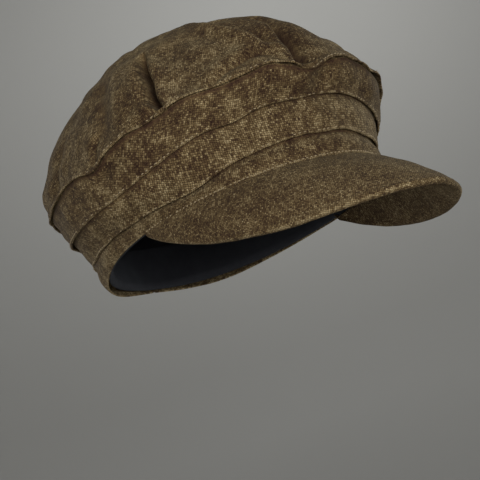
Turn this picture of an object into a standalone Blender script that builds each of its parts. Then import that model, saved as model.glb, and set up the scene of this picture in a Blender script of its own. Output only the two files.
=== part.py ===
"""Newsboy cap: a soft gathered crown on lapped tiers of cloth, with a stiff drooping visor.

Metres. +Z runs up the crown and the visor points to -Y, so the wearer's right side is at -X.
The origin is the centre of the head opening, in the plane of its hem.
"""

from collections import namedtuple
from math import cos, pi, radians, sin

import bmesh
import bpy
from mathutils import Vector

for leftover in list(bpy.data.objects):
    bpy.data.objects.remove(leftover, do_unlink=True)

collection = bpy.data.collections.new("newsboy_cap")
bpy.context.scene.collection.children.link(collection)

MM = 0.001

# The head opening, measured to the middle of the headband's cloth.
OPENING_HALF_LENGTH = 102.5 * MM
OPENING_HALF_WIDTH = 81.0 * MM

# Cloth and layer thicknesses.
CLOTH = 1.6 * MM
STIFFENER = 0.6 * MM
ELASTIC = 0.8 * MM
SWEATBAND = 0.8 * MM
LINING = 0.5 * MM
COVER = 1.2 * MM
BOARD = 1.8 * MM
LAYER_GAP = 0.3 * MM

# How far the top of each lower piece runs up behind the piece above it.
LAP = 4.0 * MM

# The three lap lines and the crown's widest line, each given against the line below it:
# how much longer and wider, how far further back, how much higher, how far the front stands
# over the back, and how far both stand over the sides.
Step = namedtuple("Step", "longer wider back up tilt wave")
HEADBAND_STEP = Step(3.7 * MM, 3.7 * MM, 6.2 * MM, 12.6 * MM, 0.0 * MM, 4.4 * MM)
MIDDLE_STEP = Step(0.6 * MM, 14.4 * MM, 0.2 * MM, 16.4 * MM, 5.4 * MM, 2.2 * MM)
UPPER_STEP = Step(11.4 * MM, 6.6 * MM, -0.5 * MM, 20.0 * MM, 0.5 * MM, -3.4 * MM)
CROWN_STEP = Step(2.8 * MM, -0.8 * MM, 5.1 * MM, 0.0 * MM, 0.0 * MM, 0.0 * MM)

CROWN_RISE = 86.0 * MM
CROWN_SWELL_SHARE = 0.18
CROWN_FALL = 1.5
CROWN_ROUNDNESS = 2.0
TIER_BULGE = 1.4 * MM

# The visor: a crescent that leaves the hem and turns down, more steeply at its sides.
VISOR_DEPTH = 66.5 * MM
VISOR_END_DEPTH = 3.0 * MM
VISOR_END_ANGLE = radians(89.0)
VISOR_FULLNESS = 0.81
VISOR_FRONT_DROOP = radians(37.5)
VISOR_SIDE_DROOP = radians(61.0)
VISOR_SPREAD = 0.17
VISOR_DROP_BELOW_HEM = 0.9 * MM
BOARD_INSET_SHARE = 0.04

# The sweatband stands on the hem. As it rises it leans back, spreads sideways, and draws in
# at its front as far as the headband's cloth does.
SWEATBAND_HEIGHT = 28.0 * MM
SWEATBAND_LEAN = 0.18
SWEATBAND_SPREAD = 0.09

ELASTIC_HALF_ANGLE = radians(38.0)
INNER_LAYER_MARGIN = 0.12

LINING_DROP = 5.0 * MM
LINING_JOIN_SHARE = 0.5

AROUND = 72
LINING_AROUND = 48
ELASTIC_COLUMNS = 16
TIER_ROWS = 4
INNER_ROWS = 2
VISOR_COLUMNS = 40
VISOR_ROWS = 5
WELD = 0.001 * MM

# The lowest row of the crown, and the small turn over which a wall's slope is read.
FOOT_SHARE = 0.05
SMALL_TURN = 0.02

Ring = namedtuple("Ring", "back half_length half_width height tilt wave")
UP = Vector((0.0, 0.0, 1.0))
HEM = Ring(0.0, OPENING_HALF_LENGTH, OPENING_HALF_WIDTH, 0.0, 0.0, 0.0)


def stepped(ring, step):
    """The ring that stands one step above another."""
    return Ring(
        ring.back + step.back,
        ring.half_length + step.longer,
        ring.half_width + step.wider,
        ring.height + step.up,
        ring.tilt + step.tilt,
        ring.wave + step.wave,
    )


HEADBAND_LAP = stepped(HEM, HEADBAND_STEP)
MIDDLE_LAP = stepped(HEADBAND_LAP, MIDDLE_STEP)
UPPER_LAP = stepped(MIDDLE_LAP, UPPER_STEP)
CROWN_GIRTH = stepped(UPPER_LAP, CROWN_STEP)
CROWN_TOP_HEIGHT = UPPER_LAP.height + CROWN_RISE


def on_ring(ring, angle, out=0.0):
    """The point of a ring at an angle from the front, moved outwards in the ring's plane."""
    return Vector(
        (
            (ring.half_width + out) * sin(angle),
            ring.back - (ring.half_length + out) * cos(angle),
            ring.height + ring.tilt * cos(angle) + ring.wave * cos(2 * angle),
        )
    )


def smooth_share(share):
    """An even ease from 0 to 1."""
    share = min(max(share, 0.0), 1.0)
    return share * share * (3 - 2 * share)


def on_crown(angle, share, inside=0.0):
    """The crown's outer line, from its lap line at share 0 to its top at share 1."""
    base = on_ring(UPPER_LAP, angle, -inside)
    girth = on_ring(CROWN_GIRTH, angle, -inside)
    start = base.lerp(girth, smooth_share(share / CROWN_SWELL_SHARE))
    width = max(1 - share**CROWN_FALL, 0.0) ** (1 / CROWN_ROUNDNESS)
    centre = CROWN_GIRTH.back
    top = CROWN_TOP_HEIGHT - inside
    return Vector(
        (
            start.x * width,
            centre + (start.y - centre) * width,
            base.z + (top - base.z) * share,
        )
    )


def between(lower, upper):
    """A straight wall from one ring to the next, as a function of angle and share."""
    return lambda angle, share: on_ring(lower, angle).lerp(on_ring(upper, angle), share)


def uphill(wall, angle):
    """The direction up a wall at its foot."""
    return (wall(angle, FOOT_SHARE) - wall(angle, 0.0)).normalized()


def outwards(wall, angle, share=0.0):
    """The direction out of a wall, square to it."""
    along = wall(angle + SMALL_TURN, share) - wall(angle - SMALL_TURN, share)
    up = wall(angle, share + FOOT_SHARE) - wall(angle, share)
    return along.cross(up).normalized()


def tucked_wall(wall, wall_above):
    """A tier's face: a slightly bulging wall whose top ends close behind the piece above."""

    def face(angle, share):
        behind = wall_above(angle, 0.0) - outwards(wall_above, angle) * (CLOTH + LAYER_GAP)
        top = behind - uphill(wall_above, angle) * CLOTH / 2
        straight = wall(angle, 0.0).lerp(top, share)
        return straight + outwards(wall, angle) * (TIER_BULGE * sin(pi * share) ** 2)

    return face


def sheet(name, stuff, thickness, place, rows, columns, span=(-pi, pi)):
    """A grid of cloth laid by place(angle, row), welded where its ends meet, and thickened."""
    mesh = bmesh.new()
    bmesh.ops.create_grid(mesh, x_segments=columns, y_segments=rows, size=0.5)
    first, last = span
    for vert in mesh.verts:
        column_share = round((vert.co.x + 0.5) * columns) / columns
        row = round((vert.co.y + 0.5) * rows)
        vert.co = place(first + (last - first) * column_share, row)
    bmesh.ops.remove_doubles(mesh, verts=mesh.verts, dist=WELD)
    data = bpy.data.meshes.new(name)
    mesh.to_mesh(data)
    mesh.free()
    for face in data.polygons:
        face.use_smooth = True
    data.materials.append(stuff)
    made = bpy.data.objects.new(name, data)
    collection.objects.link(made)
    thicken = made.modifiers.new("thickness", "SOLIDIFY")
    thicken.thickness = thickness
    thicken.offset = 0.0
    thicken.use_even_offset = True


def material(name, colour, roughness):
    """A plain finish for one kind of stuff."""
    made = bpy.data.materials.new(name)
    made.use_nodes = True
    shader = made.node_tree.nodes["Principled BSDF"]
    shader.inputs["Base Color"].default_value = (*colour, 1.0)
    shader.inputs["Roughness"].default_value = roughness
    shader.inputs["Metallic"].default_value = 0.0
    return made


def crown_top():
    """The gathered crown: one piece of cloth whose foot laps over the upper tier."""
    shares = [0.0, FOOT_SHARE, 0.11, 0.18, 0.27, 0.37, 0.48, 0.59, 0.70, 0.80, 0.89, 0.96, 1.0]

    def place(angle, row):
        return on_crown(angle, shares[row])

    sheet("crown_top", tweed, CLOTH, place, len(shares) - 1, AROUND)


HEADBAND_WALL = between(HEM, HEADBAND_LAP)
MIDDLE_WALL = between(HEADBAND_LAP, MIDDLE_LAP)
UPPER_WALL = between(MIDDLE_LAP, UPPER_LAP)


def tier(name, wall, wall_above):
    """One lapped tier, its top edge running up behind the piece above it."""
    face = tucked_wall(wall, wall_above)

    def place(angle, row):
        if row > TIER_ROWS:
            return face(angle, 1.0) + uphill(wall_above, angle) * LAP
        return face(angle, row / TIER_ROWS)

    sheet(name, tweed, CLOTH, place, TIER_ROWS + 1, AROUND)


def strip(name, stuff, thickness, wall, columns=AROUND, span=(-pi, pi)):
    """A strip of an inner layer, laid on a wall from its foot to its head."""

    def place(angle, row):
        return wall(angle, row / INNER_ROWS)

    sheet(name, stuff, thickness, place, INNER_ROWS, columns, span)


def inside_headband(depth):
    """A wall behind the headband, this deep from the middle of its cloth."""
    face = tucked_wall(HEADBAND_WALL, MIDDLE_WALL)
    margin = INNER_LAYER_MARGIN

    def wall(angle, share):
        height = margin + (1 - 2 * margin) * share
        return face(angle, height) - outwards(face, angle, height) * depth

    return wall


def band_stiffener():
    """A strip of buckram behind the headband's cloth."""
    depth = CLOTH / 2 + LAYER_GAP + STIFFENER / 2
    strip("band_stiffener", buckram, STIFFENER, inside_headband(depth))


def back_elastic():
    """A short strip of elastic at the nape, inside the stiffener."""
    depth = CLOTH / 2 + LAYER_GAP + STIFFENER + LAYER_GAP + ELASTIC / 2
    span = (pi - ELASTIC_HALF_ANGLE, pi + ELASTIC_HALF_ANGLE)
    strip("back_elastic", rubber, ELASTIC, inside_headband(depth), ELASTIC_COLUMNS, span)


SWEATBAND_DEPTH = (
    CLOTH / 2 + LAYER_GAP + STIFFENER + LAYER_GAP + ELASTIC + LAYER_GAP + SWEATBAND / 2
)
SWEATBAND_FOOT = Ring(
    0.0,
    HEM.half_length - SWEATBAND_DEPTH,
    HEM.half_width - SWEATBAND_DEPTH,
    0.0,
    0.0,
    0.0,
)
SWEATBAND_HEAD = stepped(
    SWEATBAND_FOOT,
    Step(
        -(CLOTH + LAYER_GAP),
        SWEATBAND_HEIGHT * SWEATBAND_SPREAD,
        SWEATBAND_HEIGHT * SWEATBAND_LEAN,
        SWEATBAND_HEIGHT,
        0.0,
        0.0,
    ),
)


def sweatband():
    """The woven band that touches the head, standing free above its foot."""
    strip("sweatband", dark_twill, SWEATBAND, between(SWEATBAND_FOOT, SWEATBAND_HEAD))


def lining_side():
    """The side of the lining: its foot behind the sweatband, its top under the crown."""
    foot_share = 0.8
    sweatband_wall = between(SWEATBAND_FOOT, SWEATBAND_HEAD)
    behind = SWEATBAND / 2 + LAYER_GAP + LINING / 2
    shares = [0.0, 0.16, 0.33, LINING_JOIN_SHARE]

    def place(angle, row):
        if row == 0:
            foot = sweatband_wall(angle, foot_share)
            return foot + outwards(sweatband_wall, angle) * behind
        if row == 1:
            return on_ring(MIDDLE_LAP, angle, -LINING_DROP) + UP * (LINING_DROP / 2)
        return on_crown(angle, shares[row - 2], LINING_DROP)

    sheet("lining_side", dark_lining, LINING, place, len(shares) + 1, LINING_AROUND)


def lining_tip():
    """The top of the lining, its edge lapped just inside the side piece."""
    shares = [LINING_JOIN_SHARE - 0.06, 0.56, 0.68, 0.80, 0.91, 1.0]
    drop = LINING_DROP + LINING + 4 * LAYER_GAP

    def place(angle, row):
        return on_crown(angle, shares[row], drop)

    sheet("lining_tip", dark_lining, LINING, place, len(shares) - 1, LINING_AROUND)


def visor_face(across, along):
    """The visor's upper face: across runs from -1 to 1 round the front, along out from the hem."""
    angle = across * VISOR_END_ANGLE
    clear = CLOTH / 2 + LAYER_GAP
    root = on_ring(HEM, angle, clear)
    root.z -= VISOR_DROP_BELOW_HEM
    depth = VISOR_END_DEPTH + VISOR_DEPTH * max(1 - across**2, 0.0) ** VISOR_FULLNESS
    droop = VISOR_FRONT_DROOP + (VISOR_SIDE_DROOP - VISOR_FRONT_DROOP) * sin(angle) ** 2
    square = Vector((sin(angle) / HEM.half_width, -cos(angle) / HEM.half_length, 0.0))
    level = square.normalized() * VISOR_SPREAD + Vector((0.0, -1.0, 0.0)) * (1 - VISOR_SPREAD)
    level.normalize()
    run = level * cos(droop) - UP * sin(droop)
    return root + run * (depth * along)


def visor_normal(across, along):
    """The direction square out of the visor's upper face."""
    step = 0.01
    near = max(along - step, 0.0)
    far = min(along + step, 1.0)
    left = max(across - step, -1.0)
    right = min(across + step, 1.0)
    sideways = visor_face(right, along) - visor_face(left, along)
    out = visor_face(across, far) - visor_face(across, near)
    return out.cross(sideways).normalized()


def visor_layer(name, stuff, thickness, depth, inset=0.0):
    """One layer of the visor, its middle this deep under the upper face."""

    def place(across, row):
        across = across * (1 - inset)
        along = inset + (1 - 2 * inset) * row / VISOR_ROWS
        return visor_face(across, along) - visor_normal(across, along) * depth

    sheet(name, stuff, thickness, place, VISOR_ROWS, VISOR_COLUMNS, (-1.0, 1.0))


def visor():
    """Two cloth covers with a stiff board between them."""
    board_depth = COVER + LAYER_GAP + BOARD / 2
    under_depth = COVER + LAYER_GAP + BOARD + LAYER_GAP + COVER / 2
    visor_layer("visor_top", bias_tweed, COVER, COVER / 2)
    visor_layer("visor_board", board, BOARD, board_depth, BOARD_INSET_SHARE)
    visor_layer("visor_under", bias_tweed, COVER, under_depth)


tweed = material("tweed", (0.16, 0.114, 0.06), 0.92)
bias_tweed = material("bias_tweed", (0.15, 0.112, 0.06), 0.92)
dark_twill = material("dark_twill", (0.022, 0.023, 0.028), 0.8)
dark_lining = material("dark_lining", (0.02, 0.02, 0.024), 0.5)
buckram = material("buckram", (0.62, 0.59, 0.5), 0.9)
rubber = material("rubber", (0.75, 0.74, 0.7), 0.8)
board = material("board", (0.7, 0.7, 0.68), 0.5)

crown_top()
tier("upper_tier", UPPER_WALL, on_crown)
tier("middle_tier", MIDDLE_WALL, UPPER_WALL)
tier("headband", HEADBAND_WALL, MIDDLE_WALL)
band_stiffener()
back_elastic()
sweatband()
lining_side()
lining_tip()
visor()
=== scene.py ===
"""The look of the newsboy cap: cloth tiers, a gathered crown, a visor, lining and stitching.

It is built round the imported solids, in metres: +Z up the crown, the visor towards -Y, the
wearer's right side at -X, and the origin at the centre of the head opening.
"""

from collections import namedtuple
from math import cos, pi, radians, sin

import bpy
import numpy as np
from mathutils import Matrix, Vector


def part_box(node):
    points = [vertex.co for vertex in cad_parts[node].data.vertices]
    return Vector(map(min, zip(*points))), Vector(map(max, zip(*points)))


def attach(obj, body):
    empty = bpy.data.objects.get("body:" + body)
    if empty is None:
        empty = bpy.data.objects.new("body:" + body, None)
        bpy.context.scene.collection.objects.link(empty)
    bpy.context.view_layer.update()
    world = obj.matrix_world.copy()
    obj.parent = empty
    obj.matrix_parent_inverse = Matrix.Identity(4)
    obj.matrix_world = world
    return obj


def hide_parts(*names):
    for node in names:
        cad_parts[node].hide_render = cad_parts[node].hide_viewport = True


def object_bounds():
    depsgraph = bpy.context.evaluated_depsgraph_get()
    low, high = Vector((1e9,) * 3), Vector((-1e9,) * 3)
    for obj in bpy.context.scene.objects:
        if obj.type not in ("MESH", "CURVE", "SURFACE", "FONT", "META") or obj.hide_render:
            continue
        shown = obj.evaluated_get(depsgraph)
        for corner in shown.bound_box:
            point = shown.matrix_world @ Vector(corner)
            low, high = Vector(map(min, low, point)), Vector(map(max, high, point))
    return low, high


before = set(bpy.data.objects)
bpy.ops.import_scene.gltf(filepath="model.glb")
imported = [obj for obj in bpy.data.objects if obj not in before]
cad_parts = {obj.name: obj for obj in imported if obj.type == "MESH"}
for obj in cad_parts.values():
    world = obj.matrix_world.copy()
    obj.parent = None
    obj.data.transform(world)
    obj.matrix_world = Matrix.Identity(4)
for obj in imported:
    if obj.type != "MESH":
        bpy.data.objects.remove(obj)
cad_low, cad_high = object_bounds()

# --- Camera -------------------------------------------------------------------------------
# It stands well off on the wearer's right, below the level of the hem, and is rolled over, so
# that the cap sits tipped back the way it is worn.
MM = 0.001
CAMERA_DISTANCE = 1.374
aim = (cad_low + cad_high) / 2 + Vector((14.5, 39.8, -44.6)) * MM
azimuth, elevation, roll = radians(-43.35), radians(-15.34), radians(19.49)
away = Vector((sin(azimuth) * cos(elevation), -cos(azimuth) * cos(elevation), sin(elevation)))
level_right = Vector((0.0, 0.0, 1.0)).cross(away).normalized()
level_up = away.cross(level_right)
view_up = level_up * cos(roll) + level_right * sin(roll)
view_right = view_up.cross(away)

camera_data = bpy.data.cameras.new("camera")
camera_data.lens = 162.6
camera_data.clip_end = 50.0
camera = bpy.data.objects.new("camera", camera_data)
bpy.context.scene.collection.objects.link(camera)
camera.matrix_world = Matrix((view_right, view_up, away)).transposed().to_4x4()
camera.location = aim + away * CAMERA_DISTANCE
bpy.context.scene.camera = camera

# --- Headband -----------------------------------------------------------------------------
# The lowest tier, a strip of tweed cut on a curve. Its hem is folded under round the head
# opening, and its top edge is caught behind the tier above, which laps over it.
AROUND = 720
CLOTH = 1.6 * MM
FOLDED_CLOTH = 1.1 * MM
LAYER_GAP = 0.3 * MM
LAP = 4.0 * MM
TIER_BULGE = 1.4 * MM
FLARE_HEIGHT = 3.2 * MM
WEAR_AND_LIGHT_HEIGHT = 1.0 * MM
SEAM_DEPTH, SEAM_WIDTH = 0.9 * MM, 1.1 * MM
EDGE_STEPS = 6
SMALL_TURN = 0.02
FOOT_SHARE = 0.05
GRAIN_CURVE = 0.45
BAND_RADIUS = 100 * MM

# A ring goes round the head: an oval with its centre this far back, at this height, tilted and
# waved. Each stray lifts it at an angle in degrees from the front, over a width, by mm.
Ring = namedtuple("Ring", "back half_length half_width height tilt wave strays")
HEM = Ring(0.0, 102.5 * MM, 81.0 * MM, 0.0, 0.0, 0.0, ((-148, 24, -3.0), (148, 26, -2.2)))
HEADBAND_LAP = Ring(
    6.2 * MM, 106.2 * MM, 84.7 * MM, 12.6 * MM, 0.0, 4.4 * MM,
    ((-124, 8, -1.5), (-97, 12, 1.2), (-61, 11, -3.4), (-7, 5, -1.0), (19, 9, -1.5),
     (80, 12, -1.2), (135, 10, 1.0), (170, 8, -0.8)),
)


def turn_from(angle, place):
    """Degrees round the head from a place, by the shorter way."""
    return (np.degrees(angle) - place + 180) % 360 - 180


def on_ring(ring, angle, out=0.0):
    """Points of a ring at angles from the front, moved outwards in the ring's plane."""
    height = ring.height + ring.tilt * np.cos(angle) + ring.wave * np.cos(2 * angle)
    for place, width, rise in ring.strays:
        height = height + rise * MM * np.exp(-((turn_from(angle, place) / width) ** 2))
    across = (ring.half_width + out) * np.sin(angle)
    ahead = ring.back - (ring.half_length + out) * np.cos(angle)
    return np.stack((across, ahead, height), -1)


def between(lower, upper):
    """A straight wall from one ring to the next, by angle and share of its height."""

    def wall(angle, share):
        share = np.asarray(share)[..., None]
        return on_ring(lower, angle) * (1 - share) + on_ring(upper, angle) * share

    return wall


def unit(vectors):
    """The same directions, each of length 1."""
    return vectors / np.linalg.norm(vectors, axis=-1, keepdims=True)


def uphill(wall, angle, share=0.0):
    """The direction up a wall."""
    share = np.asarray(share) + 0.0 * angle
    return unit(wall(angle, share + FOOT_SHARE) - wall(angle, share))


def outwards(wall, angle, share=0.0):
    """The direction out of a wall, square to it."""
    share = np.asarray(share) + 0.0 * angle
    along = wall(angle + SMALL_TURN, share) - wall(angle - SMALL_TURN, share)
    return unit(np.cross(along, uphill(wall, angle, share)))


def dent(angle, share, at, up_share, wide, tall):
    """1 at a place on a wall, fading out round it over a width and a height."""
    return np.exp(-((turn_from(angle, at) / wide) ** 2) - ((share - up_share) / tall) ** 2)


def swells(points, size, seed):
    """Soft irregular swells about this far across, mostly between -1 and 1."""
    dice = np.random.default_rng(seed)
    total = np.zeros(points.shape[:-1])
    for _ in range(10):
        turn = dice.normal(size=3)
        turn *= 2 * pi / size * dice.uniform(0.6, 1.5) / np.linalg.norm(turn)
        total += np.sin(points @ turn + dice.uniform(0, 2 * pi))
    return total / 3


def cloth(name, grid, lay, wear_and_painted_light, stuff, ends, ring=True):
    """A piece of cloth from a grid of points, rows up and columns round.

    lay is where each point lies on the flat cut, for the weave, and each point has one more value
    that lifts its colour along rubbed edges, partly a painted highlight, and lowers it for painted
    shade. Its rows join first to last in a loop, or close on two poles. Its columns join in a ring,
    or the piece has two ends, which are closed.
    """
    rows, columns = grid.shape[:2]
    spots = columns - 1 if ring else columns
    points = grid[:, :spots].reshape(-1, 3)
    rubbing_and_light = wear_and_painted_light[:, :spots].reshape(-1)
    row, column = np.meshgrid(
        np.arange(rows if ends == "loop" else rows - 1),
        np.arange(columns - 1),
        indexing="ij",
    )
    corners = [
        (row, column),
        (row, column + 1),
        ((row + 1) % rows, column + 1),
        ((row + 1) % rows, column),
    ]
    faces = np.stack([r * spots + c % spots for r, c in corners], -1).reshape(-1, 4).tolist()
    flat = np.stack([r * columns + c for r, c in corners], -1).reshape(-1)
    places = lay.reshape(-1, 2)[flat]
    if ends == "poles":
        # The first row and the last one each close on a point, with a fan of triangles.
        for edge, order in ((0, 1), (rows - 1, -1)):
            pole = len(points)
            points = np.vstack((points, grid[edge, :spots].mean(0)))
            rubbing_and_light = np.append(rubbing_and_light, 0.0)
            for c in range(columns - 1):
                pair = [(edge, c + 1), (edge, c)][::order]
                faces.append([r * spots + k % spots for r, k in pair] + [pole])
            pairs = np.arange(columns - 1)
            first, second = (pairs + 1, pairs) if order == 1 else (pairs, pairs + 1)
            centre = np.repeat(lay[edge].mean(0)[None], columns - 1, 0)
            fan = np.stack((lay[edge, first], lay[edge, second], centre), 1)
            places = np.vstack((places, fan.reshape(-1, 2)))
    if not ring:
        for column_at, order in ((0, 1), (columns - 1, -1)):
            rim = [(r, column_at) for r in range(rows)][::order]
            faces.append([r * spots + k for r, k in rim])
            places = np.vstack((places, np.array([lay[r, k] for r, k in rim])))
    mesh = bpy.data.meshes.new(name)
    mesh.from_pydata(points.tolist(), [], faces)
    mesh.uv_layers.new(name="cut").data.foreach_set("uv", places.ravel())
    mesh.attributes.new("wear_and_painted_light", "FLOAT", "POINT").data.foreach_set("value", rubbing_and_light)
    mesh.polygons.foreach_set("use_smooth", [True] * len(faces))
    mesh.materials.append(stuff)
    mesh.update()
    made = bpy.data.objects.new(name, mesh)
    bpy.context.scene.collection.objects.link(made)
    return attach(made, "root")


class Link:
    """One output in a finish. Arithmetic on links adds Math nodes."""

    def __init__(self, tree, socket=None):
        self.tree, self.socket = tree, socket

    def node(self, kind, settings=None, inputs=None, out=0):
        """Adds any node: its settings first, then the values or links of its sockets."""
        made = self.tree.nodes.new(kind)
        for name, value in (settings or {}).items():
            if name == "stops":
                for stop, (place, colour) in enumerate(value):
                    band = made.color_ramp.elements
                    spot = band[stop] if stop < 2 else band.new(place)
                    spot.position, spot.color = place, (*colour, 1.0)
            else:
                setattr(made, name, value)
        for name, value in (inputs or {}).items():
            if isinstance(value, Link):
                self.tree.links.new(value.socket, made.inputs[name])
            else:
                made.inputs[name].default_value = value
        return Link(self.tree, made.outputs[out])

    def maths(self, operation, *values):
        return self.node("ShaderNodeMath", {"operation": operation}, dict(enumerate(values)))

    def __add__(self, other):
        return self.maths("ADD", self, other)

    def __radd__(self, other):
        return self.maths("ADD", other, self)

    def __sub__(self, other):
        return self.maths("SUBTRACT", self, other)

    def __rsub__(self, other):
        return self.maths("SUBTRACT", other, self)

    def __mul__(self, other):
        return self.maths("MULTIPLY", self, other)

    def __rmul__(self, other):
        return self.maths("MULTIPLY", other, self)

    def __truediv__(self, other):
        return self.maths("DIVIDE", self, other)

    def __mod__(self, other):
        return self.maths("FLOORED_MODULO", self, other)

    def clamped(self):
        """This link, held between 0 and 1."""
        return self.maths("MAXIMUM", self.maths("MINIMUM", self, 1.0), 0.0)

    def floored(self):
        return self.maths("FLOOR", self)

    def ribs(self):
        """Even ribs from 0 to 1, one to each whole step of this link."""
        return self.maths("SINE", self * (2 * pi)) * 0.5 + 0.5

    def parts(self):
        """The X, Y and Z of a vector, as three links."""
        split = self.node("ShaderNodeSeparateXYZ", None, {"Vector": self}).socket.node
        return [Link(self.tree, output) for output in split.outputs]

    def shifted(self, by):
        """A vector moved along by a fixed amount."""
        return self.node("ShaderNodeVectorMath", {"operation": "ADD"}, {0: self, 1: by})

    def noise(self, size, detail=2.0, roughness=0.5):
        """Noise from 0 to 1 with features about this size, read from a vector."""
        return self.node(
            "ShaderNodeTexNoise",
            None,
            {"Vector": self, "Scale": 1 / size, "Detail": detail, "Roughness": roughness},
        )

    def mix(self, first, second):
        """Two colours mixed by this link."""
        return self.node(
            "ShaderNodeMix", {"data_type": "RGBA"}, {0: self, 6: first, 7: second}, out=2
        )


def new_finish(name, sheen, sheen_tint, specular):
    """An empty finish, with the numbers that are the same all over it."""
    made = bpy.data.materials.new(name)
    made.use_nodes = True
    shader = made.node_tree.nodes["Principled BSDF"]
    shader.inputs["Sheen Weight"].default_value = sheen
    shader.inputs["Sheen Roughness"].default_value = 0.45
    shader.inputs["Sheen Tint"].default_value = (*sheen_tint, 1.0)
    shader.inputs["Specular IOR Level"].default_value = specular
    return made, shader, Link(made.node_tree)


def dress(shader, colour, roughness, height, depth):
    """Joins the changing parts of a finish to its shader."""
    tree = colour.tree
    tree.links.new(colour.socket, shader.inputs["Base Color"])
    tree.links.new(roughness.socket, shader.inputs["Roughness"])
    bump = height.node(
        "ShaderNodeBump", None, {"Height": height, "Distance": depth, "Strength": 1.0}
    )
    tree.links.new(bump.socket, shader.inputs["Normal"])


def tweed(name, pitch, shade, mottle):
    """Coarse plain-woven tweed: mottled yarns of dark brown, khaki and tan."""
    made, shader, start = new_finish(name, 0.13, (0.60, 0.55, 0.36), 0.12)
    flat = start.node("ShaderNodeUVMap", {"uv_map": "cut"})
    u, v, _ = flat.parts()
    # No yarn runs quite straight: it bends slowly and thickens in slubs.
    bend_u = flat.noise(11 * MM, 1.0)
    bend_v = flat.shifted((3.7, 1.9, 0.0)).noise(11 * MM, 1.0)
    slub_u = flat.noise(2.6 * MM, 1.0)
    slub_v = flat.shifted((0.7, 5.1, 0.0)).noise(2.6 * MM, 1.0)
    x = u / pitch + (bend_u - 0.5) * 1.2 + (slub_u - 0.5) * 0.6
    y = v / pitch + (bend_v - 0.5) * 1.2 + (slub_v - 0.5) * 0.6
    column, row = x.floored(), y.floored()
    across, down = x - column - 0.5, y - row - 0.5
    over = (column + row) % 2.0
    # A yarn is highest where it passes over the other one, and falls off to its sides.
    warp_rise = (1 - across * across * 3.4) * (1 - down * down * 2.2)
    weft_rise = (1 - down * down * 3.4) * (1 - across * across * 2.2)
    rise = (over * warp_rise + (1 - over) * weft_rise).clamped()
    # Each yarn is spun from mixed fibres, so it changes along its length.
    warp_place = start.node(
        "ShaderNodeCombineXYZ", None, {"X": column * 3.17, "Y": y * 0.36, "Z": 2.0}
    )
    weft_place = start.node(
        "ShaderNodeCombineXYZ", None, {"X": x * 0.36, "Y": row * 3.17, "Z": 9.0}
    )
    yarn = over * warp_place.noise(1.0, 2.0) + (1 - over) * weft_place.noise(1.0, 2.0)
    cell = start.node("ShaderNodeCombineXYZ", None, {"X": column, "Y": row})
    fleck = cell.node("ShaderNodeTexWhiteNoise", {"noise_dimensions": "2D"}, {"Vector": cell})
    # The raised nap and the uneven dye do not follow the yarns.
    place = start.node("ShaderNodeTexCoord", out=3)
    fuzz = place.noise(1.1 * MM, 2.0, 0.6)
    patch = place.noise(9 * MM, 3.0, 0.6)
    cloud = place.noise(38 * MM, 2.0)
    wear_and_painted_light = start.node("ShaderNodeAttribute", {"attribute_name": "wear_and_painted_light"}, out=2)
    # Where the colour is painted darkest, a painted shade deep in a fold, the weave hardly shows.
    clear = (wear_and_painted_light * 0.9 + 1.3).clamped()
    # The per-point value lifts the colour along rubbed edges, partly a painted highlight, and
    # lowers it for painted shade: in folds, under laps, over the crown and on the upper tier.
    tone = (
        0.555 + clear * (yarn - 0.5) * 1.35 + clear * (fleck - 0.5) * 0.42 + (fuzz - 0.5) * 0.75
        + (patch - 0.5) * mottle + (cloud - 0.5) * 0.5 + wear_and_painted_light * 0.27 + shade
    )
    stops = (
        (0.0, (0.044, 0.022, 0.015)),
        (0.28, (0.100, 0.060, 0.032)),
        (0.5, (0.180, 0.120, 0.056)),
        (0.72, (0.330, 0.240, 0.122)),
        (1.0, (0.560, 0.440, 0.250)),
    )
    dyed = start.node("ShaderNodeValToRGB", {"stops": stops}, {"Fac": tone.clamped()})
    # The gaps between the yarns are painted near black, a painted shade where the weave dips.
    dark = (1 - rise).clamped() * clear * 0.95
    colour = dark.mix(dyed, (0.030, 0.016, 0.009, 1.0))
    dress(shader, colour, 0.97 - rise * 0.12, (rise + yarn * 0.5) * clear, 0.34 * MM)
    return made


TWEED = tweed("tweed_cloth", 1.3 * MM, 0.0, 1.15)


def band_lay(angle, height):
    """Where a point of a tier lies on its cut, which is a flat arc of cloth."""
    radius = BAND_RADIUS / GRAIN_CURVE + height
    turn = GRAIN_CURVE * angle
    return np.stack((radius * np.sin(turn), radius * np.cos(turn)), -1)


def rolled_edge(foot, out, up, thickness):
    """The half circle of a folded edge, from its inner side round to its outer side."""
    turn = np.linspace(pi, 0, EDGE_STEPS)[:, None, None]
    return foot + out * (np.cos(turn) * thickness / 2) - up * (np.sin(turn) * thickness / 2)


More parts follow.
